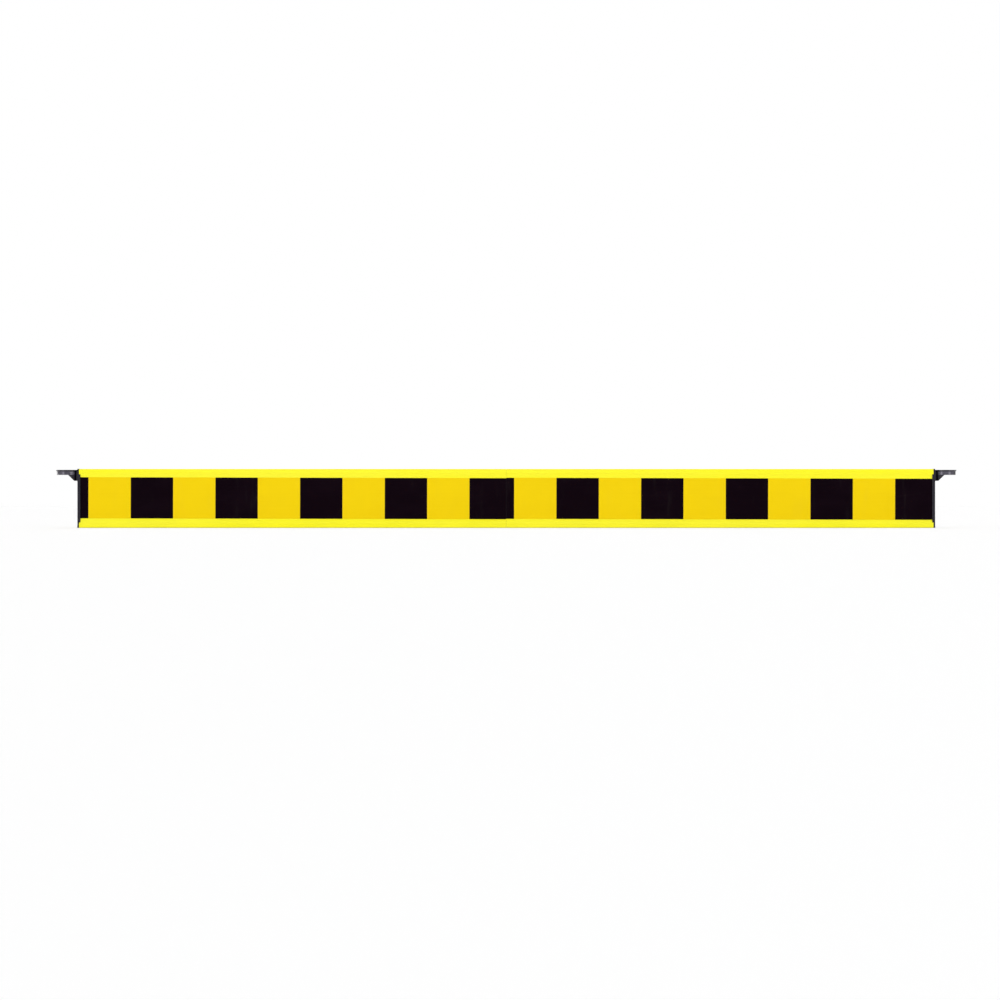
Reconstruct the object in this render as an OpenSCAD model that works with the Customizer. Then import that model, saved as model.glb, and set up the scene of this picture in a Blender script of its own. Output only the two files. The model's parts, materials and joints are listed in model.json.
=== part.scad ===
// Folding barrier board.
// Two hollow boards meet at a centre seam and fold on two hinges at the back of it.
// A sliding bolt between the hinges locks the boards straight. Each outer end has a
// moulded cap with a collar that drops over a post or the top of a cone.
// X runs along the board, the front faces -Y and Z is up.
// The origin is under the middle of the seam, level with the bottom edge.

/* [Board] */
// Distance between the outer faces of the end caps
span = 2025.5; // [1800:0.5:2200]
// Height of the boards
board_h = 139; // [138:1:150]
// Depth of the boards over their top and bottom beads
bead_depth = 40; // [38:0.5:42]
// Depth of the tape recess below the beads
recess = 3; // [3:0.1:3.4]
// Outer wall thickness of the hollow boards
wall = 2.6; // [2.2:0.1:3]
// Thickness of the inner webs
web_t = 2; // [1.4:0.1:2.4]
// Gap between the two boards at the seam
seam_gap = 0.2; // [0.2:0.1:0.8]

/* [Tape] */
// Length of one coloured square
square_l = 100; // [80:1:120]
// Height of the tape band
tape_h = 97; // [88:1:97]
// Thickness of the tape
tape_t = 0.4; // [0.2:0.05:0.4]
// Distance from the left cap's outer face to the first colour change
left_first = 25.8; // [10:0.1:60]
// Distance from the seam to the right board's first colour change
right_first = 18.5; // [10:0.5:60]
// Angle by which each hand-laid band drops towards the right
tape_skew = 0.13; // [0:0.01:0.13]

/* [End caps] */
// Thickness of the end plate
plate_t = 3.8; // [2.5:0.1:4]
// Length of the flange that laps over the tape
lap = 3; // [2:0.5:6]
// Depth of the spigots inside the board
spigot_l = 24; // [18:1:40]
// Radius of the collar's bore
bore_r = 20.5; // [18:0.1:21]
// Outer radius of the collar
collar_r = 25; // [24:0.1:26]
// Radius of the collar's top flange
collar_flange_r = 27; // [26:0.1:28]
// Height of the collar
collar_h = 11.7; // [10:0.1:12]

/* [Hinges] */
// Height of one hinge
hinge_h = 30; // [28:1:30]
// Length of one leaf from the pin's axis
leaf_l = 52; // [50:1:60]
// Thickness of the leaves
leaf_t = 2; // [1.8:0.1:2.2]
// Radius of the hinge pins
pin_r = 1.75; // [1.5:0.05:2]

/* [Sliding bolt] */
// Width of the flat bolt
bolt_w = 12; // [10:0.5:12]
// Thickness of the flat bolt
bolt_t = 3; // [2.6:0.1:3]
// Distance the bolt travels into the keeper
bolt_travel = 30; // [28:1:30]
// Length of the bolt
bolt_l = 98; // [98:1:110]

/* [Hidden] */
$fn = 64;

// The board's section
floor_y = bead_depth / 2 - recess;
bead_r = recess;
bead_h = 10;
cavity_y = floor_y - wall;
floor_bottom = 18.6;
floor_top = board_h - 18.6;
mid_z = board_h / 2 + 0.25;
web_z = [21.5, mid_z - 13.75, mid_z + 13.75, board_h - 20.5];
chambers = [for (i = [0:4]) [
    i == 0 ? wall : web_z[i - 1] + web_t / 2,
    i == 4 ? board_h - wall : web_z[i] - web_t / 2
]];
boss_r = 4;
boss_y = 8;
boss_z = [web_z[0], web_z[2]];
cap_screw_r = 1.95;
cap_screw_l = 18;
cap_screw_head_r = 3.8;
screw_clear = 0.05;

// Lengthwise places, for the right half
cap_x = span / 2;
board_end = cap_x - plate_t;
board_start = seam_gap / 2;

// The tape
tape_clear = 0.2;
tape_end = board_end - lap - tape_clear;
tape_start = board_start + tape_clear / 2;
back_tape_start = 6;
band_z = [mid_z + 0.1, mid_z - 1.2];
band_count = ceil(span / 2 / square_l) + 1;

// The end cap
plate_top = board_h + 0.4;
collar_x = cap_x + collar_r;
collar_top = board_h - 2.2;
collar_bottom = collar_top - collar_h;
collar_flange_t = 4;
collar_brim_t = 1.2;
skirt_bottom = collar_bottom - 14.1;
skirt_inner_r = bore_r + 0.7;
skirt_reach = 21.7;
skirt_foot = 8;
neck_y = 12;
neck_l = 7;
flange_y = bead_depth / 2 - 0.6;
flange_z = [11.5, board_h - 11.5];
pocket_d = 1;
pocket_y = [3, 15];
pocket_z = [[30, 50], [54, 74], [91, 106]];
spigot_gap = 0.2;
spigot_wall = 1.8;
cap_rib = [1.8, 20];
scuff = [0.7, 9];

// The joint plug
plug_t = 3;
plug_face = 0.9;
plug_recess = 4;
plug_l = 30;
dirt_lip_x = [-plug_face - 1, plug_face - 0.2];
dirt_lip_y = [-10, -6];
backing_t = 2.9;
backing_y = cavity_y - 0.1;
backing_x = [8, 50];

// The hinges
axis_y = bead_depth / 2 + 1;
leaf_y = floor_y + tape_t;
knuckle_r = axis_y - leaf_y;
hinge_bottoms = [mid_z - 44.75, mid_z + 14.75];
knuckle_h = 8;
knuckle_gap = 0.8;
washer_t = 0.5;
pin_fixed_clear = 0.03;
pin_running_clear = 0.07;
pin_head_r = 2.6;
pin_head_t = 1;
leaf_notch = knuckle_r + 0.8;
leaf_screw_x = [17, 41];
leaf_screw_dz = [7.5, hinge_h - 7.5];
hinge_screw_r = 2;
hinge_screw_head_r = 3.9;
hinge_screw_points = [for (b = hinge_bottoms, x = leaf_screw_x, dz = leaf_screw_dz) [x, b + dz]];

// The sliding bolt, with its places given from the seam towards the left end
base_t = 1.2;
base_x = [16, 90];
base_w = 24;
strap_t = 1.2;
strap_l = 8;
strap_x = [20, 76];
strap_gap = 0.4;
bolt_tip = 16;
bolt_y = [axis_y - bolt_t / 2, axis_y + bolt_t / 2];
pad_x = 59.5;
pad_l = 15;
pad_h = 2.3;
pad_w = 11.6;
pad_ridges = 6;
pad_screw_r = 1.5;
pad_screw_head_r = 2.8;
pad_screw_l = 2.8;
pad_screw_sink = 0.8;
pad_screw_point = [pad_x + pad_l / 2, mid_z];
detent_x = 52;
detent_r = 1.4;
detent_h = 0.9;
spring_t = 0.4;
spring_w = 6;
spring_l = 30;
groove_w = 3.6;
groove_d = 0.9;
rivet_r = 1.6;
rivet_head_r = 2.5;
rivet_head_t = 0.9;
rivet_bulb_r = 1.9;
rivet_bulb_t = 1.5;
housing_rivet_points = [for (x = [36, 70], s = [-1, 1]) [x, mid_z + 9 * s]];
keeper_x = [3, 13];
keeper_w = 26.8;
keeper_clear = 0.8;
keeper_foot_w = (keeper_w - bolt_w) / 2 - keeper_clear;
keeper_bridge_y = [axis_y + 2.3, axis_y + 3.4];
keeper_rivet_points = [for (s = [-1, 1]) [8, mid_z + 10.6 * s]];

// ---- Helpers ----

// Draws a right-hand child on the right (1) or mirrored on the left (-1)
module on_side(side) {
    mirror([side < 0 ? 1 : 0, 0, 0]) children();
}

// Extrudes an outline drawn as (Y, Z) from x0 to x1
module along_x(x0, x1) {
    translate([x0, 0, 0]) rotate([90, 0, 90]) linear_extrude(x1 - x0) children();
}

// Extrudes an outline drawn as (X, Z) from y0 to y1
module along_y(y0, y1) {
    translate([0, y1, 0]) rotate([90, 0, 0]) linear_extrude(y1 - y0) children();
}

// A box from its lowest corner to its highest
module box(low, high) {
    translate(low) cube(high - low);
}

// Cylinders through the back wall at [x, z] points
module back_holes(points, r, y0, y1) {
    for (p = points)
        translate([p[0], y1, p[1]]) rotate([90, 0, 0]) cylinder(r = r, h = y1 - y0);
}

// A rectangle with round corners
module round_rect(low, high, r) {
    translate([low[0] + r, low[1]]) square([high[0] - low[0] - 2 * r, high[1] - low[1]]);
    translate([low[0], low[1] + r]) square([high[0] - low[0], high[1] - low[1] - 2 * r]);
    for (x = [low[0] + r, high[0] - r], y = [low[1] + r, high[1] - r])
        translate([x, y]) circle(r = r);
}

// A countersunk screw lying along -Z, with its head's face at Z = 0
module countersunk_screw(r, head_r, l) {
    difference() {
        union() {
            translate([0, 0, -l]) cylinder(r = r, h = l);
            translate([0, 0, r - head_r]) cylinder(r1 = r, r2 = head_r, h = head_r - r);
        }
        for (a = [0, 90])
            rotate(a) translate([-0.55 * head_r, -0.45, -1]) cube([1.1 * head_r, 0.9, 2]);
    }
}

// The clearance that a countersunk screw leaves in a plate
module countersink(r, head_r, depth) {
    translate([0, 0, -depth]) cylinder(r = r + screw_clear, h = depth + 1);
    translate([0, 0, r - head_r])
        cylinder(r1 = r + screw_clear, r2 = head_r + screw_clear, h = head_r - r);
    cylinder(r = head_r + screw_clear, h = 1);
}

// A blind rivet lying along -Y, set from y_face through to the inside of the wall
module rivet(y_face) {
    y_end = cavity_y - rivet_bulb_t;
    rotate([-90, 0, 0]) {
        translate([0, 0, y_face]) cylinder(r1 = rivet_head_r, r2 = rivet_head_r - 0.9, h = rivet_head_t);
        translate([0, 0, y_end]) cylinder(r = rivet_r, h = y_face - y_end);
        translate([0, 0, y_end]) cylinder(r = rivet_bulb_r, h = rivet_bulb_t);
    }
}

// ---- Boards ----

// One rounded bead on both faces, with a slope down to the recess floor,
// drawn upwards from the board's edge
module bead(floor_h) {
    slope = asin(bead_r / (floor_h - bead_h));
    // The slope starts just inside the bead, where the two outlines cross cleanly
    reach = bead_r * 0.97;
    for (side = [0, 1])
        mirror([side, 0]) {
            for (z = [bead_r, bead_h])
                translate([floor_y, z]) circle(r = bead_r);
            translate([floor_y - 1, bead_r]) square([bead_r + 1, bead_h - bead_r]);
            polygon([
                [floor_y - 1, bead_h],
                [floor_y, bead_h],
                [floor_y + reach * cos(slope), bead_h + reach * sin(slope)],
                [floor_y, floor_h],
                [floor_y - 1, floor_h]
            ]);
        }
}

module board_outline() {
    translate([-floor_y, 0]) square([2 * floor_y, board_h]);
    bead(floor_bottom);
    translate([0, board_h]) mirror([0, 1]) bead(board_h - floor_top);
}

module bosses(r) {
    for (y = [-boss_y, boss_y], z = boss_z)
        translate([y, z]) circle(r = r);
}

module board_section() {
    difference() {
        board_outline();
        difference() {
            union() {
                for (c = chambers)
                    translate([-cavity_y, c[0]]) square([2 * cavity_y, c[1] - c[0]]);
                for (z = [wall + 0.8, board_h - wall - 7.3])
                    translate([-floor_y, z]) square([2 * floor_y, 6.5]);
            }
            bosses(boss_r);
        }
        bosses(cap_screw_r + screw_clear);
    }
}

module board(side, rivet_points) {
    color("yellow") on_side(side) difference() {
        along_x(board_start, board_end) board_section();
        box(
            [board_start - 1, -cavity_y - 0.1, wall - 0.1],
            [board_start + plug_recess, cavity_y + 0.1, board_h - wall + 0.1]
        );
        back_holes(hinge_screw_points, hinge_screw_r + screw_clear, cavity_y - 1, floor_y + 1);
        back_holes(rivet_points, rivet_r + screw_clear, cavity_y - 1, floor_y + 1);
    }
}

// ---- Tape ----

// Every second square between x0 and x1, from the given index on, counted from the first colour change
module squares(x0, x1, first_change, index, y0, y1) {
    for (i = [index:2:band_count]) {
        a = max(x0, first_change + (i - 1) * square_l);
        b = min(x1, first_change + i * square_l);
        if (b > a)
            box([a, y0, -tape_h / 2], [b, y1, tape_h / 2]);
    }
}

// One board's tape of one colour, on its front and its back
module tape(side, index) {
    front = side < 0 ? [-tape_end, -tape_start] : [tape_start, tape_end];
    back = side < 0 ? [-tape_end, -back_tape_start] : [back_tape_start, tape_end];
    first_change = side < 0 ? left_first - cap_x : right_first;
    centre_x = side * cap_x / 2;
    difference() {
        translate([centre_x, 0, band_z[side < 0 ? 0 : 1]])
            rotate([0, tape_skew, 0])
                translate([-centre_x, 0, 0]) {
                    squares(front[0], front[1], first_change, index, -floor_y - tape_t, -floor_y);
                    squares(back[0], back[1], first_change, index, floor_y, floor_y + tape_t);
                }
        on_side(side) {
            back_holes(hinge_screw_points, hinge_screw_r + screw_clear, floor_y - 1, leaf_y + 1);
            back_holes(
                side < 0 ? housing_rivet_points : keeper_rivet_points,
                rivet_r + screw_clear, floor_y - 1, leaf_y + 1
            );
        }
    }
}

module black_tape(side) {
    color([0.07, 0.06, 0.07]) tape(side, 0);
}

module amber_tape(side) {
    color([0.96, 0.82, 0.07]) tape(side, 1);
}

// ---- End caps ----

// Places a screw at each of the cap's four screw bosses
module at_cap_screws() {
    for (y = [-boss_y, boss_y], z = boss_z)
        translate([cap_x, y, z]) rotate([0, 90, 0]) children();
}

// The hollow spigots that fill the board's chambers
module spigots() {
    outer_y = cavity_y - spigot_gap;
    inner_y = outer_y - spigot_wall;
    difference() {
        for (c = chambers) {
            low = c[0] + spigot_gap;
            high = c[1] - spigot_gap;
            difference() {
                box([board_end - spigot_l, -outer_y, low], [board_end + 1, outer_y, high]);
                box(
                    [board_end - spigot_l - 1, -inner_y, low + spigot_wall],
                    [board_end - 2, inner_y, high - spigot_wall]
                );
            }
        }
        along_x(board_end - spigot_l - 1, board_end) bosses(boss_r + spigot_gap);
    }
}

// The collar, its top flange, and the half-tube that braces it on the end plate
module collar() {
    skirt_h = collar_bottom - skirt_bottom;
    difference() {
        union() {
            translate([collar_x, 0, collar_bottom]) cylinder(r = collar_r, h = collar_h);
            translate([collar_x, 0, collar_top - collar_flange_t])
                cylinder(r1 = collar_r + 0.2, r2 = collar_flange_r, h = collar_flange_t - collar_brim_t);
            translate([collar_x, 0, collar_top - collar_brim_t])
                cylinder(r = collar_flange_r, h = collar_brim_t);
            box([cap_x - 1, -neck_y, collar_bottom], [cap_x + neck_l, neck_y, collar_top]);
            intersection() {
                union() {
                    translate([collar_x, 0, skirt_bottom]) cylinder(r = collar_r, h = skirt_h);
                    box([cap_x - 1, -neck_y, skirt_bottom], [cap_x + neck_l, neck_y, collar_bottom]);
                }
                along_y(-collar_r, collar_r) polygon([
                    [cap_x - 1, skirt_bottom],
                    [cap_x + skirt_foot, skirt_bottom],
                    [cap_x + skirt_foot, collar_bottom - skirt_reach + skirt_foot],
                    [cap_x + skirt_reach, collar_bottom],
                    [cap_x - 1, collar_bottom]
                ]);
            }
        }
        translate([collar_x, 0, collar_bottom - 1]) cylinder(r = bore_r, h = collar_h + 2);
        translate([collar_x, 0, skirt_bottom - 1]) cylinder(r = skirt_inner_r, h = skirt_h + 1);
    }
}

module end_cap(side) {
    color([0.12, 0.12, 0.13]) on_side(side) difference() {
        union() {
            along_x(board_end, cap_x)
                round_rect([-bead_depth / 2, 0], [bead_depth / 2, plate_top], bead_r);
            along_x(board_end - lap, board_end) difference() {
                round_rect([-flange_y, flange_z[0]], [flange_y, flange_z[1]], 2);
                board_outline();
            }
            spigots();
            collar();
            // Rib that runs out below the collar's brace
            along_y(-1.5, 1.5) polygon([
                [cap_x, skirt_bottom],
                [cap_x, skirt_bottom - cap_rib[1]],
                [cap_x + cap_rib[0], skirt_bottom]
            ]);
            // Scuff edge at the foot of the plate
            along_y(-14, 14) polygon([
                [cap_x, 0],
                [cap_x + scuff[0], scuff[0]],
                [cap_x + scuff[0], scuff[1] / 2],
                [cap_x, scuff[1]]
            ]);
        }
        at_cap_screws() countersink(cap_screw_r, cap_screw_head_r, plate_t + 3);
        // Pockets that leave a rib round and between them
        for (s = [-1, 1], z = pocket_z)
            along_x(cap_x - pocket_d, cap_x + 1) round_rect(
                [s > 0 ? pocket_y[0] : -pocket_y[1], z[0]],
                [s > 0 ? pocket_y[1] : -pocket_y[0], z[1]], 2
            );
    }
}

module cap_screws(side) {
    color("silver") on_side(side)
        at_cap_screws() countersunk_screw(cap_screw_r, cap_screw_head_r, cap_screw_l);
}

// ---- Joint plugs and backing plates ----

// The plug that closes a board at the seam, with room behind the back wall for the backing plates
module joint_plug(side) {
    color([0.15, 0.15, 0.16]) on_side(side) difference() {
        union() {
            box(
                [plug_face, spigot_gap - cavity_y, wall + spigot_gap],
                [plug_face + plug_t, cavity_y - spigot_gap, board_h - wall - spigot_gap]
            );
            for (i = [0:4])
                difference() {
                    back = i == 1 || i == 3 ? backing_y - backing_t - spigot_gap : cavity_y - spigot_gap;
                    low = chambers[i][0] + spigot_gap;
                    high = chambers[i][1] - spigot_gap;
                    box([plug_face + 1, spigot_gap - cavity_y, low], [plug_l, back, high]);
                    box(
                        [plug_face + plug_t, spigot_gap + spigot_wall - cavity_y, low + spigot_wall],
                        [plug_l + 1, back - spigot_wall, high - spigot_wall]
                    );
                }
        }
        along_x(board_start + plug_recess, plug_l + 1) bosses(boss_r + spigot_gap);
        // Room for the ends of the keeper's rivets
        back_holes(keeper_rivet_points, rivet_bulb_r + 0.3, cavity_y - spigot_wall - 3, cavity_y + 1);
    }
}

// The left board's plug, with a lip that reaches across the seam and keeps dirt out of it
module left_joint_plug() {
    joint_plug(-1);
    color([0.15, 0.15, 0.16]) box(
        [dirt_lip_x[0], dirt_lip_y[0], wall + spigot_gap],
        [dirt_lip_x[1], dirt_lip_y[1], board_h - wall - spigot_gap]
    );
}

module backing_plates(side) {
    color("silver") on_side(side) difference() {
        for (c = [chambers[1], chambers[3]])
            along_y(backing_y - backing_t, backing_y)
                round_rect([backing_x[0], c[0] + 1], [backing_x[1], c[1] - 1], 2);
        back_holes(
            hinge_screw_points, hinge_screw_r + screw_clear,
            backing_y - backing_t - 1, backing_y + 1
        );
        along_x(backing_x[0] - 1, backing_x[1] + 1) bosses(boss_r + spigot_gap);
    }
}

// ---- Hinges ----

// A knuckle from z0 to z1 with the strip that joins it to its leaf
module knuckle(z0, z1) {
    translate([0, axis_y, z0]) cylinder(r = knuckle_r, h = z1 - z0);
    box([0, leaf_y, z0], [leaf_notch + 1, leaf_y + leaf_t, z1]);
}

// A leaf on the right of the pin, with its knuckles between the given heights
module leaf(bottom, spans, clear) {
    difference() {
        union() {
            along_y(leaf_y, leaf_y + leaf_t)
                round_rect([leaf_notch, bottom], [leaf_l, bottom + hinge_h], 3);
            for (s = spans)
                knuckle(bottom + s[0], bottom + s[1]);
        }
        translate([0, axis_y, bottom - 1]) cylinder(r = pin_r + clear, h = hinge_h + 2);
        for (x = leaf_screw_x, dz = leaf_screw_dz)
            translate([x, leaf_y + leaf_t, bottom + dz]) rotate([-90, 0, 0])
                countersink(hinge_screw_r, hinge_screw_head_r, leaf_t + 1);
    }
}

module left_leaf(bottom) {
    color("silver") on_side(-1)
        leaf(bottom, [[0, knuckle_h], [hinge_h - knuckle_h, hinge_h]], pin_fixed_clear);
}

module right_leaf(bottom) {
    color("silver")
        leaf(bottom, [[knuckle_h + knuckle_gap, hinge_h - knuckle_h - knuckle_gap]], pin_running_clear);
}

module hinge_pin(bottom) {
    color("gainsboro") translate([0, axis_y, bottom]) {
        cylinder(r = pin_r, h = hinge_h);
        translate([0, 0, -pin_head_t]) cylinder(r1 = pin_head_r - 0.6, r2 = pin_head_r, h = pin_head_t);
        translate([0, 0, hinge_h]) cylinder(r1 = pin_head_r, r2 = pin_head_r - 0.6, h = pin_head_t);
    }
}

// The two washers that lie against the left leaf's knuckles
module hinge_washers(bottom) {
    color("white") for (z = [knuckle_h, hinge_h - knuckle_h - washer_t])
        translate([0, axis_y, bottom + z]) difference() {
            cylinder(r = knuckle_r - 0.3, h = washer_t);
            translate([0, 0, -1]) cylinder(r = pin_r + pin_fixed_clear, h = washer_t + 2);
        }
}

module hinge_screws(side) {
    screw_l = leaf_y + leaf_t - backing_y + backing_t;
    color("silver") on_side(side) for (p = hinge_screw_points)
        translate([p[0], leaf_y + leaf_t, p[1]]) rotate([-90, 0, 0])
            countersunk_screw(hinge_screw_r, hinge_screw_head_r, screw_l);
}

// ---- Sliding bolt ----

// A bridge over the bolt, drawn as (Y, Z), with its inner faces clear of the bolt
module bridge_section(inner_w, y_foot, y_inner, y_outer) {
    t = y_outer - y_inner;
    difference() {
        union() {
            translate([y_foot, mid_z - inner_w / 2 - t]) square([y_outer - t - y_foot, inner_w + 2 * t]);
            round_rect([y_outer - 3 * t, mid_z - inner_w / 2 - t], [y_outer, mid_z + inner_w / 2 + t], t);
        }
        translate([y_foot - 1, mid_z - inner_w / 2]) square([y_inner - y_foot + 1, inner_w]);
    }
}

module bolt_housing() {
    strap_y = bolt_y[1] + strap_gap;
    color("silver") on_side(-1) difference() {
        union() {
            along_y(leaf_y, leaf_y + base_t)
                round_rect([base_x[0], mid_z - base_w / 2], [base_x[1], mid_z + base_w / 2], 3);
            for (x = strap_x)
                along_x(x, x + strap_l)
                    bridge_section(bolt_w + 2 * strap_gap, leaf_y + base_t / 2, strap_y, strap_y + strap_t);
        }
        back_holes(housing_rivet_points, rivet_r + screw_clear, leaf_y - 1, leaf_y + base_t + 1);
    }
}

module rivets(side, points, y_face) {
    color("gainsboro") on_side(side) for (p = points)
        translate([p[0], 0, p[1]]) rivet(y_face);
}

// The leaf spring under the bolt, with the dimple that rides in the bolt's groove
module bolt_detent_spring() {
    y = leaf_y + base_t;
    color("darkgray") on_side(-1) {
        along_y(y, y + spring_t) round_rect(
            [detent_x - spring_l / 2, mid_z - spring_w / 2],
            [detent_x + spring_l / 2, mid_z + spring_w / 2], 1
        );
        translate([detent_x, y + spring_t, mid_z]) rotate([-90, 0, 0])
            cylinder(r1 = detent_r, r2 = detent_r - 0.5, h = detent_h);
    }
}

module slide_bolt() {
    color("lightgray") on_side(-1) difference() {
        along_y(bolt_y[0], bolt_y[1]) {
            translate([bolt_tip + bolt_w / 2, mid_z]) circle(r = bolt_w / 2);
            translate([bolt_tip + bolt_w / 2, mid_z - bolt_w / 2]) square([bolt_l - bolt_w / 2, bolt_w]);
        }
        // Groove for the detent, with a pocket at each end
        box(
            [detent_x, bolt_y[0] - 1, mid_z - groove_w / 2],
            [detent_x + bolt_travel, bolt_y[0] + groove_d, mid_z + groove_w / 2]
        );
        back_holes(
            [for (x = [detent_x, detent_x + bolt_travel]) [x, mid_z]],
            groove_w / 2 + 0.4, bolt_y[0] - 1, bolt_y[0] + groove_d + 0.3
        );
        back_holes([pad_screw_point], pad_screw_r + screw_clear, bolt_y[0] + 1.6, bolt_y[1] + 1);
    }
}

module bolt_thumb_pad() {
    ridge = pad_l / pad_ridges;
    color([0.12, 0.12, 0.13]) on_side(-1) difference() {
        along_y(bolt_y[1], bolt_y[1] + pad_h)
            round_rect([pad_x, mid_z - pad_w / 2], [pad_x + pad_l, mid_z + pad_w / 2], 2);
        for (i = [1:pad_ridges - 1])
            translate([pad_x + i * ridge, bolt_y[1] + pad_h, mid_z - pad_w / 2 - 1])
                linear_extrude(pad_w + 2) polygon([[-0.7, 0.1], [0, -0.8], [0.7, 0.1]]);
        at_pad_screw() countersink(pad_screw_r, pad_screw_head_r, pad_h + 1);
    }
}

// Places the thumb pad's screw, with its head sunk below the pad's face
module at_pad_screw() {
    translate([pad_screw_point[0], bolt_y[1] + pad_h - pad_screw_sink, pad_screw_point[1]])
        rotate([-90, 0, 0]) children();
}

module thumb_pad_screw() {
    color("silver") on_side(-1)
        at_pad_screw() countersunk_screw(pad_screw_r, pad_screw_head_r, pad_screw_l);
}

module bolt_keeper() {
    color("silver") difference() {
        union() {
            along_x(keeper_x[0], keeper_x[1]) bridge_section(
                bolt_w + 2 * keeper_clear, leaf_y, keeper_bridge_y[0], keeper_bridge_y[1]
            );
            for (z = [mid_z - keeper_w / 2, mid_z + keeper_w / 2 - keeper_foot_w])
                box([keeper_x[0], leaf_y, z], [keeper_x[1], leaf_y + base_t, z + keeper_foot_w]);
        }
        back_holes(keeper_rivet_points, rivet_r + screw_clear, leaf_y - 1, leaf_y + base_t + 1);
    }
}

// ---- Assembly ----

board(-1, housing_rivet_points);  // left_board
board(1, keeper_rivet_points);  // right_board
black_tape(-1);  // left_black_tape
amber_tape(-1);  // left_amber_tape
black_tape(1);  // right_black_tape
amber_tape(1);  // right_amber_tape
end_cap(-1);  // left_end_cap
end_cap(1);  // right_end_cap
cap_screws(-1);  // left_cap_screws
cap_screws(1);  // right_cap_screws
left_joint_plug();
joint_plug(1);  // right_joint_plug
backing_plates(-1);  // left_backing_plates
backing_plates(1);  // right_backing_plates
left_leaf(hinge_bottoms[0]);  // lower_hinge_left_leaf
right_leaf(hinge_bottoms[0]);  // lower_hinge_right_leaf
hinge_pin(hinge_bottoms[0]);  // lower_hinge_pin
hinge_washers(hinge_bottoms[0]);  // lower_hinge_washers
left_leaf(hinge_bottoms[1]);  // upper_hinge_left_leaf
right_leaf(hinge_bottoms[1]);  // upper_hinge_right_leaf
hinge_pin(hinge_bottoms[1]);  // upper_hinge_pin
hinge_washers(hinge_bottoms[1]);  // upper_hinge_washers
hinge_screws(-1);  // left_hinge_screws
hinge_screws(1);  // right_hinge_screws
bolt_housing();
rivets(-1, housing_rivet_points, leaf_y + base_t);  // bolt_housing_rivets
bolt_detent_spring();
slide_bolt();
bolt_thumb_pad();
thumb_pad_screw();
bolt_keeper();
rivets(1, keeper_rivet_points, leaf_y + base_t);  // bolt_keeper_rivets
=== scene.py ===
"""
Folding barrier board: its looks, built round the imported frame.
Metres, with X along the board, the front towards -Y, and Z up.
"""

import json
import math
import random

import bmesh
import bpy
import numpy as np
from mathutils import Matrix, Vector, noise


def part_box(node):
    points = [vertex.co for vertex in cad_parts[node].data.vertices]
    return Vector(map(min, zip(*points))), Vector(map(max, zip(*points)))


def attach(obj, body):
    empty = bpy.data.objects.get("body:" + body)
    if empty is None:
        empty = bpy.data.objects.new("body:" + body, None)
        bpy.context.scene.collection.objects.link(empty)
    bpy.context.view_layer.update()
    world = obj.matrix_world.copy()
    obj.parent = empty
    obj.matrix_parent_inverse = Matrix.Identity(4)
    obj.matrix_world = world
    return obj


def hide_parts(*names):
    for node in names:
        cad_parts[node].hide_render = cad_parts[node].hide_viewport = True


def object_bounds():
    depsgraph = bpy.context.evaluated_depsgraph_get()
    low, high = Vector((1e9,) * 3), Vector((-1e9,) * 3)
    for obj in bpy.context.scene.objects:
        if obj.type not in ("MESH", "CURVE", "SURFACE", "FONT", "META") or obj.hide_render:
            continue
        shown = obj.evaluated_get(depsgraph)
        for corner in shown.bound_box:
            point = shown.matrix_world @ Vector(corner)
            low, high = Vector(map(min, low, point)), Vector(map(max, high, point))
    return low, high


MM = 0.001
# Points closer than this are one point
MERGE = 0.002 * MM
# The directions of a square's corners: lower left, lower right, upper right, upper left
CORNERS = ((-1, -1), (1, -1), (1, 1), (-1, 1))

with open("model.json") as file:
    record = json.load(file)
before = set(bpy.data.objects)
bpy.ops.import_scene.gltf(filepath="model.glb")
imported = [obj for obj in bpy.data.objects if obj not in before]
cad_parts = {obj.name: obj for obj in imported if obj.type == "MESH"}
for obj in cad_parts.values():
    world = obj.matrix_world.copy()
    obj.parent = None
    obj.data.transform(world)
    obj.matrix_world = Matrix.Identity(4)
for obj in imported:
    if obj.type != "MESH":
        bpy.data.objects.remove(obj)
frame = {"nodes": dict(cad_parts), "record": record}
cad_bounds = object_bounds()
nodes = frame["nodes"]
body_of = {n: body for body, members in frame["record"]["behaviour"]["bodies"].items() for n in members}
slot_of = {s["node"]: s["material_slot"] for s in frame["record"]["subparts"]}


# ---- Node-tree helpers ----


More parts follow.
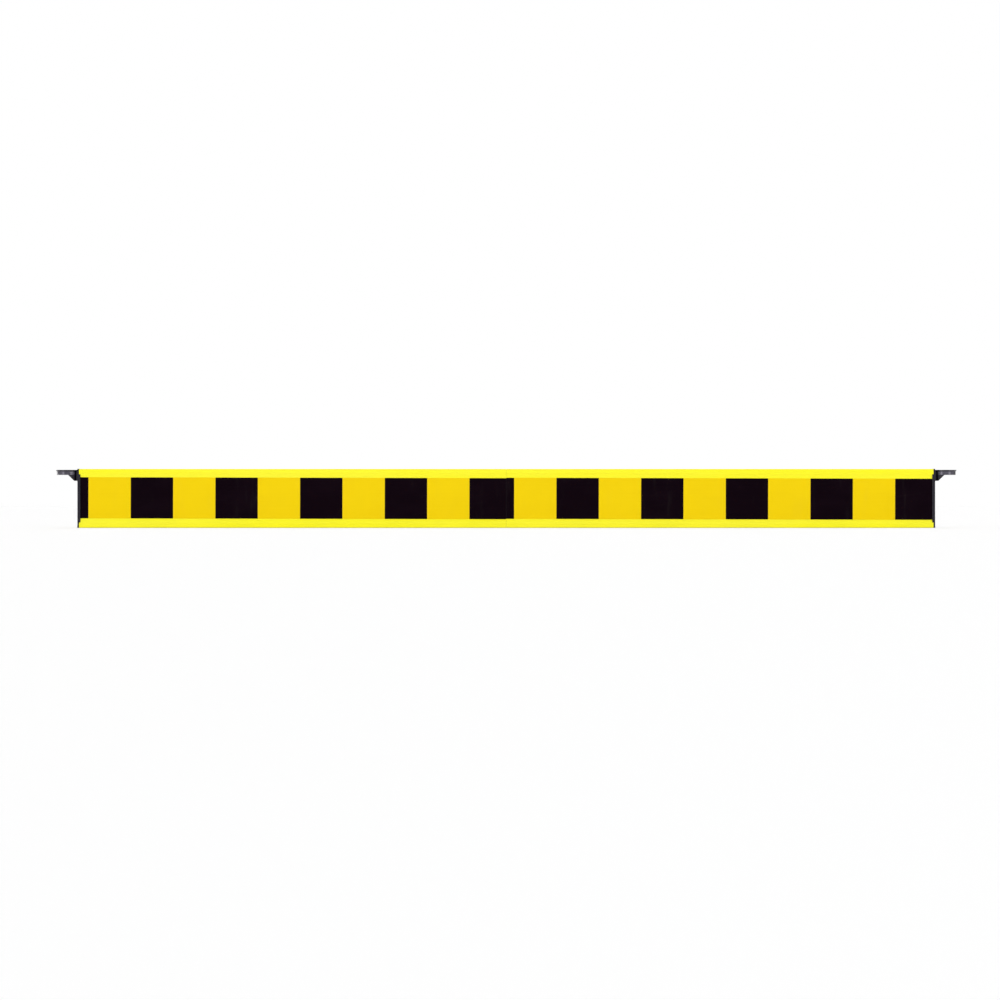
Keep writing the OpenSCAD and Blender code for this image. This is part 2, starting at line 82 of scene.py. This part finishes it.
class Shader:
    """A material with one Principled shader, and short calls that add nodes to it."""

    def __init__(self, name):
        self.material = bpy.data.materials.new(name)
        self.material.use_nodes = True
        self.tree = self.material.node_tree
        self.tree.nodes.clear()
        output = self.tree.nodes.new("ShaderNodeOutputMaterial")
        self.bsdf = self.tree.nodes.new("ShaderNodeBsdfPrincipled")
        self.tree.links.new(self.bsdf.outputs["BSDF"], output.inputs["Surface"])
        self.place = self.tree.nodes.new("ShaderNodeTexCoord").outputs["Object"]
        self.normal = None

    def feed(self, socket, value):
        """Puts a number, a colour or another node's output into a socket."""
        if isinstance(value, bpy.types.NodeSocket):
            self.tree.links.new(value, socket)
            return
        if hasattr(socket.default_value, "__len__"):
            size = len(socket.default_value)
            value = tuple(value) if hasattr(value, "__len__") else (value,) * size
            value = value + (1.0,) * (size - len(value))
        socket.default_value = value

    def set(self, **values):
        """Sets the Principled shader's sockets, with underscores for the spaces in their names."""
        for name, value in values.items():
            self.feed(self.bsdf.inputs[name.replace("_", " ")], value)

    def math(self, operation, a, b=0.0):
        """One math node on one or two numbers."""
        node = self.tree.nodes.new("ShaderNodeMath")
        node.operation = operation
        self.feed(node.inputs[0], a)
        self.feed(node.inputs[1], b)
        return node.outputs[0]

    def vector(self, operation, a, b=(0.0, 0.0, 0.0), c=(0.0, 0.0, 0.0)):
        """One vector math node on up to three vectors."""
        node = self.tree.nodes.new("ShaderNodeVectorMath")
        node.operation = operation
        for socket, value in zip(node.inputs, (a, b, c)):
            self.feed(socket, value)
        return node.outputs["Value" if operation == "DOT_PRODUCT" else "Vector"]

    def axis(self, index, vector=None):
        """One coordinate of a vector, or of the point in the part's frame at rest."""
        node = self.tree.nodes.new("ShaderNodeSeparateXYZ")
        self.feed(node.inputs[0], vector or self.place)
        return node.outputs[index]

    def turned(self, degrees):
        """The point turned about Y, for marks that run across the board at a slant."""
        node = self.tree.nodes.new("ShaderNodeMapping")
        self.feed(node.inputs["Vector"], self.place)
        node.inputs["Rotation"].default_value = (0.0, math.radians(degrees), 0.0)
        return node.outputs["Vector"]

    def noise(self, per_metre, detail=3.0, rough=0.5, place=None):
        """Noise with that many features a metre, one number or one along each axis."""
        node = self.tree.nodes.new("ShaderNodeTexNoise")
        self.feed(node.inputs["Vector"], self.vector("MULTIPLY", place or self.place, per_metre))
        node.inputs["Scale"].default_value = 1.0
        node.inputs["Detail"].default_value = detail
        node.inputs["Roughness"].default_value = rough
        return node.outputs["Fac"]

    def cells(self, per_metre):
        """A flat colour for each cell, with that many cells a metre."""
        node = self.tree.nodes.new("ShaderNodeTexVoronoi")
        self.feed(node.inputs["Vector"], self.vector("MULTIPLY", self.place, per_metre))
        node.inputs["Scale"].default_value = 1.0
        return node.outputs["Color"]

    def ramp(self, value, low, high, to_low=0.0, to_high=1.0):
        """A smooth step of a value from low to high, mapped onto to_low to to_high."""
        node = self.tree.nodes.new("ShaderNodeMapRange")
        node.interpolation_type = "SMOOTHSTEP"
        self.feed(node.inputs["Value"], value)
        for name, number in (("From Min", low), ("From Max", high), ("To Min", to_low), ("To Max", to_high)):
            node.inputs[name].default_value = number
        return node.outputs["Result"]

    def mix(self, factor, a, b):
        """Colour a where factor is 0, and b where it is 1."""
        node = self.tree.nodes.new("ShaderNodeMix")
        node.data_type = "RGBA"
        self.feed(node.inputs[0], factor)
        self.feed(node.inputs[6], a)
        self.feed(node.inputs[7], b)
        return node.outputs[2]

    def bump(self, height, distance):
        """Adds one more layer of bump, where a height of 1 stands that far out, in metres."""
        node = self.tree.nodes.new("ShaderNodeBump")
        node.inputs["Distance"].default_value = distance
        self.feed(node.inputs["Height"], height)
        if self.normal is not None:
            self.feed(node.inputs["Normal"], self.normal)
        self.normal = node.outputs["Normal"]
        self.feed(self.bsdf.inputs["Normal"], self.normal)

    def scratches(self, degrees, across, low=0.66, high=0.72):
        """Fine straight marks along X, turned by an angle; across is how many a metre."""
        return self.ramp(self.noise((9.0, 60.0, across), 3.0, 0.6, self.turned(degrees)), low, high)

    def hexagons(self, width):
        """How far a point is from the centre of its hexagon in the XZ plane, 0.5 at the edge."""
        flat = self.tree.nodes.new("ShaderNodeCombineXYZ")
        self.feed(flat.inputs[0], self.math("DIVIDE", self.axis(0), width))
        self.feed(flat.inputs[1], self.math("DIVIDE", self.axis(2), width))
        half = (0.5, math.sqrt(3) / 2, 0.5)
        low = tuple(-h for h in half)
        a = self.vector("WRAP", flat.outputs[0], half, low)
        b = self.vector("WRAP", self.vector("SUBTRACT", flat.outputs[0], half), half, low)
        nearer = self.math("GREATER_THAN", self.vector("DOT_PRODUCT", a, a), self.vector("DOT_PRODUCT", b, b))
        step = self.vector("MULTIPLY", self.vector("SUBTRACT", b, a), nearer)
        cell = self.vector("ABSOLUTE", self.vector("ADD", a, step))
        slanted = self.vector("DOT_PRODUCT", cell, (0.5, math.sqrt(3) / 2, 0.0))
        return self.math("MAXIMUM", self.axis(0, cell), slanted)


# ---- Materials ----

LEMON = (0.965, 0.925, 0.010)
LEMON_PALE = (0.960, 0.920, 0.034)
LEMON_DEEP = (0.925, 0.815, 0.004)
AMBER = (0.885, 0.628, 0.0005)
AMBER_DEEP = (0.850, 0.590, 0.0003)
AMBER_SEAL = (0.94, 0.73, 0.022)
TAPE_BLACK = (0.0028, 0.0003, 0.0022)
TAPE_BLACK_WORN = (0.0060, 0.0018, 0.0048)
TAPE_BLACK_SEAL = (0.014, 0.006, 0.012)
MOULDED_BLACK = (0.0042, 0.0032, 0.0072)
# Pale violet-grey for the collars' barrels: a painted highlight that also stands for rubbing
BARREL_HIGHLIGHT_AND_RUB = (0.17, 0.16, 0.20)
ZINC = (0.60, 0.61, 0.60)
PLAIN_ZINC = (0.52, 0.53, 0.53)
ZINC_YELLOWED = (0.62, 0.57, 0.43)
ZINC_DULL = (0.42, 0.42, 0.42)
NYLON = (0.80, 0.78, 0.70)
NYLON_DEEP = (0.70, 0.67, 0.58)
DUST = (0.19, 0.175, 0.150)
SCUFF = (0.30, 0.26, 0.090)

# Heights between which the scuffs on the boards' lower and upper edges grow to their full strength
LOWER_SCUFFS = (5 * MM, 0.0)
UPPER_SCUFFS = (134.5 * MM, 138 * MM)

# Each pair is where a change in the end caps' plastic begins and ends.
# The collars lie beyond the first, their barrels above the second and below the third.
COLLAR_STARTS = (cad_bounds[1].x - 47 * MM, cad_bounds[1].x - 42 * MM)
BARREL_FOOT = (cad_bounds[1].z - 15.0 * MM, cad_bounds[1].z - 13.5 * MM)
BARREL_HEAD = (cad_bounds[1].z - 5.6 * MM, cad_bounds[1].z - 7.0 * MM)
# On the barrels, the painted highlight, which also stands for rubbing, lies this far in front of and behind
# the middle
HIGHLIGHT_AND_RUB_FACES = (12 * MM, 18 * MM)

# Width of the sheeting's hexagonal cells, and how far from a cell's centre, as shares of that width,
# its sealed edge begins and is whole
HEXAGON = 3.6 * MM
SEAL = (0.435, 0.475)

# Fine lines or grains a metre along each axis
LINES_ALONG_X = (30.0, 2600.0, 2600.0)
LINES_ALONG_Z = (2600.0, 2600.0, 60.0)
FINE_GRAIN = (1500.0, 1500.0, 1500.0)
GRAIN = (1200.0, 1200.0, 1200.0)


def board_plastic():
    """Extruded lemon-yellow plastic: die lines along its length, a slight fade, and scuffs on its edges."""
    s = Shader("board_plastic")
    fade = s.ramp(s.noise((2.5, 26.0, 26.0), 4.0, 0.55), 0.38, 0.72)
    height = s.axis(2)
    edge = s.math("MAXIMUM", s.ramp(height, *LOWER_SCUFFS), s.ramp(height, *UPPER_SCUFFS))
    rubs = s.ramp(s.noise((70.0, 520.0, 520.0), 6.0, 0.66), 0.60, 0.72)
    scuffs = s.math("MULTIPLY", rubs, s.ramp(edge, 0.0, 1.0, 0.02, 0.38))
    marks = s.math("MULTIPLY", s.scratches(4.0, 900.0, 0.67, 0.73), 0.22)
    lines = s.noise((1.0, 620.0, 620.0), 3.0, 0.6)
    specks = s.ramp(s.noise(900.0, 2.0, 0.5), 0.68, 0.76)
    colour = s.mix(s.math("MULTIPLY", fade, 0.6), LEMON, LEMON_PALE)
    colour = s.mix(s.ramp(lines, 0.42, 0.70, 0.0, 0.38), colour, LEMON_DEEP)
    colour = s.mix(s.math("MULTIPLY", specks, 0.16), colour, SCUFF)
    colour = s.mix(s.math("MAXIMUM", scuffs, marks), colour, SCUFF)
    s.set(Base_Color=colour, Specular_IOR_Level=0.30)
    s.set(Roughness=s.math("ADD", s.ramp(fade, 0.0, 1.0, 0.34, 0.44), s.math("MULTIPLY", scuffs, 0.25)))
    s.bump(lines, 0.16 * MM)
    s.bump(s.noise(420.0, 3.0, 0.55), 0.05 * MM)
    s.bump(s.math("MULTIPLY", scuffs, -1.0), 0.06 * MM)
    return s.material


def tape(name, colour, worn, seal_colour, seal_share, specular):
    """Retroreflective sheeting: a film over sealed hexagonal cells, with fine scratches and a little dust."""
    s = Shader(name)
    cell = s.hexagons(HEXAGON)
    seal = s.ramp(cell, *SEAL)
    beads = s.ramp(s.noise(2600.0, 1.0, 0.5), 0.30, 0.70)
    patches = s.ramp(s.noise((9.0, 9.0, 22.0), 4.0, 0.6), 0.42, 0.70)
    scratches = s.math("MAXIMUM", s.scratches(8.0, 1300.0), s.scratches(-37.0, 1100.0, 0.70, 0.74))
    tint = s.mix(s.math("MULTIPLY", patches, 0.5), colour, worn)
    tint = s.mix(s.math("MULTIPLY", beads, 0.16), tint, worn)
    tint = s.mix(s.math("MULTIPLY", seal, seal_share), tint, seal_colour)
    dust = s.math("MULTIPLY", s.ramp(s.noise((70.0, 70.0, 9.0), 5.0, 0.6), 0.56, 0.80), 0.03)
    s.set(Base_Color=s.mix(s.math("ADD", dust, s.math("MULTIPLY", scratches, 0.05)), tint, DUST))
    s.set(Roughness=s.math("ADD", s.ramp(seal, 0.0, 1.0, 0.27, 0.38), s.math("MULTIPLY", scratches, 0.2)))
    s.set(Specular_IOR_Level=specular)
    s.bump(seal, 0.035 * MM)
    s.bump(s.noise(55.0, 2.0, 0.5), 0.10 * MM)
    s.bump(s.math("MULTIPLY", scratches, -1.0), 0.03 * MM)
    return s.material


def black_plastic(name, grain, roughness):
    """
    Moulded black plastic with a spark-eroded grain, paler where it is rubbed, and a little dust.
    On the end caps, the fronts and backs of the collars' barrels carry a painted highlight, a pale band that
    also stands for rubbing, and the braces below them are rough.
    """
    s = Shader(name)
    sheen = s.ramp(s.noise(34.0, 4.0, 0.6), 0.40, 0.70)
    rubbed = s.ramp(s.noise((120.0, 120.0, 45.0), 6.0, 0.68), 0.60, 0.72)
    marks = s.scratches(63.0, 1500.0, 0.69, 0.74)
    tint = s.mix(s.math("MULTIPLY", sheen, 0.5), MOULDED_BLACK, tuple(1.7 * c for c in MOULDED_BLACK))
    tint = s.mix(s.math("MULTIPLY", s.math("MAXIMUM", rubbed, marks), 0.13), tint, DUST)
    collar = s.ramp(s.math("ABSOLUTE", s.axis(0)), *COLLAR_STARTS)
    barrel = s.math("MULTIPLY", s.ramp(s.axis(2), *BARREL_FOOT), s.ramp(s.axis(2), *BARREL_HEAD))
    brace = s.math("MULTIPLY", collar, s.ramp(s.axis(2), *reversed(BARREL_FOOT)))
    ring = s.math("MULTIPLY", collar, barrel)
    # Painted highlight and rubbing: the fronts and backs of the collars' barrels, below the brim, are tinted
    # pale
    faces = s.math("MULTIPLY", ring, s.ramp(s.math("ABSOLUTE", s.axis(1)), *HIGHLIGHT_AND_RUB_FACES))
    highlight_and_rub_share = s.ramp(s.noise((90.0, 90.0, 260.0), 4.0, 0.6), 0.25, 0.65, 0.26, 0.52)
    tint = s.mix(s.math("MULTIPLY", faces, highlight_and_rub_share), tint, BARREL_HIGHLIGHT_AND_RUB)
    s.set(Base_Color=tint, Specular_IOR_Level=0.50, Specular_Tint=(0.92, 0.88, 1.0))
    worn = s.math("ADD", s.math("MULTIPLY", rubbed, 0.12), s.math("MULTIPLY", brace, 0.42))
    s.set(Roughness=s.math("ADD", s.ramp(sheen, 0.0, 1.0, roughness, roughness + 0.10), worn))
    s.bump(s.noise(grain, 3.0, 0.6), 0.022 * MM)
    s.bump(s.noise(60.0, 2.0, 0.5), 0.12 * MM)
    return s.material


def zinc(name, colour, roughness, spangle):
    """Zinc-plated sheet: faint crystals, rolling lines along X, a yellow cast in places, and dull spots."""
    s = Shader(name)
    crystal = s.axis(0, s.cells(240.0))
    cast = s.ramp(s.noise(45.0, 3.0, 0.6), 0.45, 0.75)
    dull = s.ramp(s.noise(170.0, 5.0, 0.65), 0.55, 0.72)
    tint = s.mix(s.math("MULTIPLY", crystal, spangle), colour, tuple(0.82 * c for c in colour))
    tint = s.mix(s.math("MULTIPLY", cast, 0.45), tint, ZINC_YELLOWED)
    tint = s.mix(s.math("MULTIPLY", dull, 0.35), tint, ZINC_DULL)
    s.set(Base_Color=tint, Metallic=1.0)
    satin = s.ramp(dull, 0.0, 1.0, roughness, roughness + 0.18)
    s.set(Roughness=s.math("ADD", satin, s.math("MULTIPLY", crystal, 0.06)))
    s.bump(s.noise((60.0, 1500.0, 1500.0), 2.0, 0.5), 0.012 * MM)
    s.bump(s.math("MULTIPLY", s.scratches(21.0, 1600.0), -1.0), 0.02 * MM)
    return s.material


def brushed(name, colour, roughness, grain):
    """Bare metal with fine lines or a fine grain, and patches of a duller finish."""
    s = Shader(name)
    lines = s.noise(grain, 3.0, 0.6)
    dull = s.ramp(s.noise(90.0, 4.0, 0.6), 0.48, 0.72)
    tint = s.mix(lines, tuple(0.86 * c for c in colour), tuple(1.1 * c for c in colour))
    tint = s.mix(s.math("MULTIPLY", dull, 0.3), tint, tuple(0.7 * c for c in colour))
    s.set(Base_Color=tint, Metallic=1.0)
    s.set(Roughness=s.ramp(dull, 0.0, 1.0, roughness, roughness + 0.14))
    s.bump(lines, 0.015 * MM)
    return s.material


def nylon():
    """Natural nylon: milky, slightly translucent, with fine turned grooves."""
    s = Shader("washer_nylon")
    cloud = s.noise(300.0, 3.0, 0.6)
    s.set(Base_Color=s.mix(cloud, NYLON, NYLON_DEEP))
    s.set(Roughness=s.ramp(cloud, 0.3, 0.7, 0.38, 0.50), Subsurface_Weight=0.15)
    s.bump(s.noise((1800.0, 1800.0, 200.0), 2.0, 0.5), 0.01 * MM)
    return s.material


MATERIALS = {
    "board_plastic": board_plastic(),
    "tape_black": tape(
        "tape_black", TAPE_BLACK, TAPE_BLACK_WORN, TAPE_BLACK_SEAL, seal_share=0.30, specular=0.025
    ),
    "tape_amber": tape("tape_amber", AMBER, AMBER_DEEP, AMBER_SEAL, seal_share=0.35, specular=0.06),
    "cap_plastic": black_plastic("cap_plastic", grain=1700.0, roughness=0.17),
    "plug_plastic": black_plastic("plug_plastic", grain=1300.0, roughness=0.46),
    "pad_plastic": black_plastic("pad_plastic", grain=2200.0, roughness=0.40),
    "zinc_steel": zinc("zinc_steel", ZINC, roughness=0.30, spangle=0.5),
    "plate_steel": zinc("plate_steel", PLAIN_ZINC, roughness=0.38, spangle=0.3),
    "bolt_steel": brushed("bolt_steel", (0.66, 0.66, 0.66), 0.24, LINES_ALONG_X),
    "pin_steel": brushed("pin_steel", (0.58, 0.58, 0.57), 0.28, LINES_ALONG_Z),
    "screw_steel": brushed("screw_steel", (0.64, 0.64, 0.63), 0.26, FINE_GRAIN),
    "spring_steel": brushed("spring_steel", (0.20, 0.21, 0.25), 0.30, LINES_ALONG_X),
    "rivet_aluminium": brushed("rivet_aluminium", (0.74, 0.74, 0.75), 0.34, GRAIN),
    "washer_nylon": nylon(),
}


# ---- CAD nodes: materials and softened edges ----

# Edges sharper than this are softened, with this many strips
SHARP = math.radians(32)
STRIPS = 3
# How strongly the larger faces set the shading, where 50 is even
FACE_WEIGHT = 60
# Width of the softened edge, in millimetres, by material slot; the tape has none, because sheets replace it
EDGE = {
    "board_plastic": 0.30,
    "cap_plastic": 0.35,
    "plug_plastic": 0.30,
    "pad_plastic": 0.25,
    "zinc_steel": 0.22,
    "plate_steel": 0.25,
    "bolt_steel": 0.30,
    "pin_steel": 0.15,
    "screw_steel": 0.07,
    "spring_steel": 0.06,
    "rivet_aluminium": 0.12,
    "washer_nylon": 0.06,
}


def soften(obj, width):
    """Smooth shading and rounded edges, as modifiers, so the mesh itself stays as imported."""
    for polygon in obj.data.polygons:
        polygon.use_smooth = True
    if obj.data.has_custom_normals:
        with bpy.context.temp_override(object=obj, active_object=obj, selected_objects=[obj]):
            bpy.ops.mesh.customdata_custom_splitnormals_clear()
    weld = obj.modifiers.new("weld", "WELD")
    weld.merge_threshold = MERGE
    bevel = obj.modifiers.new("edges", "BEVEL")
    bevel.width = width
    bevel.segments = STRIPS
    bevel.limit_method = "ANGLE"
    bevel.angle_limit = SHARP
    bevel.use_clamp_overlap = True
    bevel.miter_outer = "MITER_ARC"
    normals = obj.modifiers.new("normals", "WEIGHTED_NORMAL")
    normals.keep_sharp = True
    normals.weight = FACE_WEIGHT


for name, obj in nodes.items():
    obj.data.materials.clear()
    obj.data.materials.append(MATERIALS[slot_of[name]])
    if slot_of[name] in EDGE:
        soften(obj, EDGE[slot_of[name]] * MM)


# ---- Tape, as thin laid sheets ----

TAPE_SEED = 11
# Spacing of the grid on a sheet's outer face
GRID = 3.0 * MM
# How far in from a sheet's outline its face begins to roll over, and how much its corners are cut back
ROLL = 0.12 * MM
CORNER_CUT = 0.15 * MM
# The drift of a sheet's hand-cut edge, the unevenness of its face, and the share of that along the edge
EDGE_DRIFT = 0.05 * MM
UNEVENNESS = 0.03 * MM
EDGE_SHARE = 0.35
# How many bubbles a sheet has, one of these, and their radii and heights in millimetres
BUBBLE_COUNTS = (1, 2, 2, 3)
BUBBLE_RADII = (3.5, 7.0)
BUBBLE_HEIGHTS = (0.08, 0.16)
# How far each sheeting's face stands above the CAD square's, before its unevenness lifts it
AMBER_SKIN = -0.05 * MM
BLACK_SKIN = -0.01 * MM
# A side less than NEAR from the cap or the seam is laid up to it, but for CLEARANCE
NEAR = 1 * MM
CLEARANCE = 0.02 * MM
# What stands more than this above the tape is the cap's lapping flange
PROUD = 1 * MM


def islands(mesh):
    """The separate solids of a mesh, each as an array of its points."""
    bm = bmesh.new()
    bm.from_mesh(mesh)
    bmesh.ops.remove_doubles(bm, verts=bm.verts, dist=MERGE)
    seen, found = set(), []
    for start in bm.verts:
        if start in seen:
            continue
        stack, group = [start], []
        seen.add(start)
        while stack:
            v = stack.pop()
            group.append(tuple(v.co))
            for e in v.link_edges:
                other = e.other_vert(v)
                if other not in seen:
                    seen.add(other)
                    stack.append(other)
        found.append(np.array(group))
    bm.free()
    return found


def corners(points, reach):
    """
    A slightly turned square's corners as (x, z), in the order of CORNERS.
    A side near an end of the reach, at the cap or the seam, is laid up to it.
    """
    flat = points[:, [0, 2]].copy()
    picks = [flat[np.argmax(flat @ np.array(d))] for d in CORNERS]
    for pick in picks:
        for edge in reach:
            if abs(pick[0] - edge) < NEAR:
                pick[0] = edge
    return picks


def wander(x, z, seed):
    """A small smooth drift of a hand-cut edge, the same for both squares that share it."""
    return EDGE_DRIFT * noise.noise(Vector((60 * x, 60 * z, seed)))


def ripple(x, z, side, bubbles):
    """How far the sheet stands off its flat: a slight unevenness, and a few trapped bubbles."""
    lift = UNEVENNESS * (1 + noise.noise(Vector((30 * x, 9 * side, 30 * z))))
    for bx, bz, r, h in bubbles:
        d = math.hypot(x - bx, z - bz) / r
        if d < 1:
            lift += h * (1 + math.cos(math.pi * d)) / 2
    return lift


def trapped_bubbles(dice, across, up):
    """Bubbles as (x, z, radius, height), placed between a square's two limits across and up."""
    return [
        (
            dice.uniform(*across), dice.uniform(*up),
            dice.uniform(*BUBBLE_RADII) * MM, dice.uniform(*BUBBLE_HEIGHTS) * MM,
        )
        for _ in range(dice.choice(BUBBLE_COUNTS))
    ]


def add_square(bm, points, dice, skin, reach):
    """One square of tape: a fine grid on its outer face, a rolled edge, and a plain back."""
    low, high = points[:, 1].min(), points[:, 1].max()
    side = 1 if low + high > 0 else -1
    inner, outer = (low, high) if side > 0 else (high, low)
    a, b, c, d = corners(points, reach)
    nx = max(3, round(float(np.linalg.norm(b - a)) / GRID))
    nz = max(3, round(float(np.linalg.norm(d - a)) / GRID))
    bubbles = trapped_bubbles(dice, (a[0], b[0]), (a[1], d[1]))
    top, rim = {}, {}
    for i in range(nx + 1):
        for k in range(nz + 1):
            u, v = i / nx, k / nz
            p = (1 - u) * (1 - v) * a + u * (1 - v) * b + u * v * c + (1 - u) * v * d
            x = p[0] + (wander(p[0], p[1], 3) if i in (0, nx) else 0)
            z = p[1] + (wander(p[0], p[1], 7) if k in (0, nz) else 0)
            on_rim = i in (0, nx) or k in (0, nz)
            out_x = -1 if i == 0 else 1 if i == nx else 0
            out_z = -1 if k == 0 else 1 if k == nz else 0
            cut = CORNER_CUT if out_x and out_z else 0.0
            x, z = x - out_x * cut, z - out_z * cut
            lift = ripple(x, z, side, bubbles) * (EDGE_SHARE if on_rim else 1)
            y = outer + side * (lift + skin)
            if on_rim:
                rim[i, k] = bm.verts.new((x, y - side * ROLL, z))
                top[i, k] = bm.verts.new((x - out_x * ROLL, y, z - out_z * ROLL))
            else:
                top[i, k] = bm.verts.new((x, y, z))
    for i in range(nx):
        for k in range(nz):
            bm.faces.new((top[i, k], top[i + 1, k], top[i + 1, k + 1], top[i, k + 1]))
    around = [(i, 0) for i in range(nx)] + [(nx, k) for k in range(nz)]
    around += [(i, nz) for i in range(nx, 0, -1)] + [(0, k) for k in range(nz, 0, -1)]
    base = {q: bm.verts.new((rim[q].co.x, inner, rim[q].co.z)) for q in around}
    for q, r in zip(around, around[1:] + around[:1]):
        bm.faces.new((top[q], rim[q], rim[r], top[r]))
        bm.faces.new((rim[q], base[q], base[r], rim[r]))
    bm.faces.new([base[q] for q in around])


def cap_inner(side, way):
    """How far from the seam the cap's lapping flange begins: its innermost point proud of the tape."""
    points = np.empty(3 * len(nodes[side + "_end_cap"].data.vertices))
    nodes[side + "_end_cap"].data.vertices.foreach_get("co", points)
    points = points.reshape(-1, 3)
    proud = np.abs(points[:, 1]) > np.abs(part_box(side + "_black_tape")[0].y) + PROUD
    return float((way * points[proud, 0]).min())


def lay_tape(node, skin):
    """Laid sheets that stand for a CAD node's squares of tape."""
    dice = random.Random(TAPE_SEED + len(node))
    side = node.split("_")[0]
    way = -1 if side == "left" else 1
    reach = (way * CLEARANCE, way * (cap_inner(side, way) - CLEARANCE))
    bm = bmesh.new()
    for points in islands(nodes[node].data):
        add_square(bm, points, dice, skin, reach)
    bmesh.ops.recalc_face_normals(bm, faces=bm.faces)
    mesh = bpy.data.meshes.new(node + "_sheets")
    bm.to_mesh(mesh)
    bm.free()
    for polygon in mesh.polygons:
        polygon.use_smooth = len(polygon.vertices) == 4
    mesh.materials.append(MATERIALS[slot_of[node]])
    sheets = bpy.data.objects.new(node + "_sheets", mesh)
    bpy.context.scene.collection.objects.link(sheets)
    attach(sheets, body_of[node])
    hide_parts(node)


for name in sorted(nodes):
    if name.endswith("amber_tape"):
        lay_tape(name, AMBER_SKIN)
    elif name.endswith("black_tape"):
        lay_tape(name, BLACK_SKIN)


# ---- Studio ----

# The floor's size either side of the middle, and how far it lies below the object
FLOOR_HALF = 40.0
FLOOR_GAP = 0.2 * MM

# Brightness of the backdrop as the camera sees it, and of the sky as it lights the object
BACKDROP = 1.0
SKY = 0.44
WHITE = (1.0, 1.0, 1.0, 1.0)

# Name, strength, spread in degrees, and the direction the light travels
LIGHTS = [
    ("key", 0.42, 60.0, (0.35, 0.75, -0.90)),
    ("left_strip", 0.88, 22.0, (0.68, 0.72, -0.06)),
    ("right_strip", 0.72, 22.0, (-0.72, 0.68, -0.06)),
    ("top", 1.02, 80.0, (0.05, -0.15, -1.0)),
    ("back", 0.70, 50.0, (-0.45, -0.75, -0.50)),
    ("back_strip", 0.50, 18.0, (0.75, -0.66, -0.06)),
]

# Width of what the picture holds, how far its middle is from the object's on X and Z,
# and how far the camera stands from the object's front and how far it sees
PICTURE_WIDTH = 2.36
OFF_CENTRE = (-0.0148, -0.0040)
DISTANCE = 12.0
SIGHT = 100.0


def lay_floor():
    """A pale floor out to the horizon."""
    mesh = bpy.data.meshes.new("floor")
    mesh.from_pydata([(FLOOR_HALF * x, FLOOR_HALF * y, 0) for x, y in CORNERS], [], [(0, 1, 2, 3)])
    floor = bpy.data.objects.new("floor", mesh)
    floor.location.z = cad_bounds[0].z - FLOOR_GAP
    bpy.context.scene.collection.objects.link(floor)
    paint = Shader("floor_paint")
    paint.set(Base_Color=(0.98, 0.98, 0.98), Roughness=0.9, Specular_IOR_Level=0.1)
    mesh.materials.append(paint.material)


def hang_sky():
    """An even white backdrop, which lights the object as a dimmer sky."""
    world = bpy.data.worlds.new("studio")
    bpy.context.scene.world = world
    world.use_nodes = True
    tree = world.node_tree
    tree.nodes.clear()
    output = tree.nodes.new("ShaderNodeOutputWorld")
    path = tree.nodes.new("ShaderNodeLightPath")
    blend = tree.nodes.new("ShaderNodeMixShader")
    tree.links.new(path.outputs["Is Camera Ray"], blend.inputs[0])
    for socket, strength in ((blend.inputs[1], SKY), (blend.inputs[2], BACKDROP)):
        background = tree.nodes.new("ShaderNodeBackground")
        background.inputs["Color"].default_value = WHITE
        background.inputs["Strength"].default_value = strength
        tree.links.new(background.outputs[0], socket)
    tree.links.new(blend.outputs[0], output.inputs["Surface"])


def place_lights():
    """Soft lights from far away, each a sun lamp with a wide disc."""
    for name, strength, spread, direction in LIGHTS:
        light = bpy.data.lights.new(name, "SUN")
        light.energy = strength
        light.angle = math.radians(spread)
        lamp = bpy.data.objects.new(name, light)
        lamp.rotation_mode = "QUATERNION"
        lamp.rotation_quaternion = Vector(direction).to_track_quat("-Z", "Y")
        bpy.context.scene.collection.objects.link(lamp)


def place_camera():
    """A far camera square on to the front, which hardly shows any perspective."""
    low, high = cad_bounds
    middle = (low + high) / 2
    data = bpy.data.cameras.new("camera")
    data.lens = data.sensor_width * DISTANCE / PICTURE_WIDTH
    data.clip_end = SIGHT
    camera = bpy.data.objects.new("camera", data)
    camera.location = (middle.x + OFF_CENTRE[0], low.y - DISTANCE, middle.z + OFF_CENTRE[1])
    camera.rotation_euler = (math.radians(90), 0, 0)
    bpy.context.scene.collection.objects.link(camera)
    bpy.context.scene.camera = camera


lay_floor()
hang_sky()
place_lights()
place_camera()
bpy.context.scene.view_settings.view_transform = "Standard"
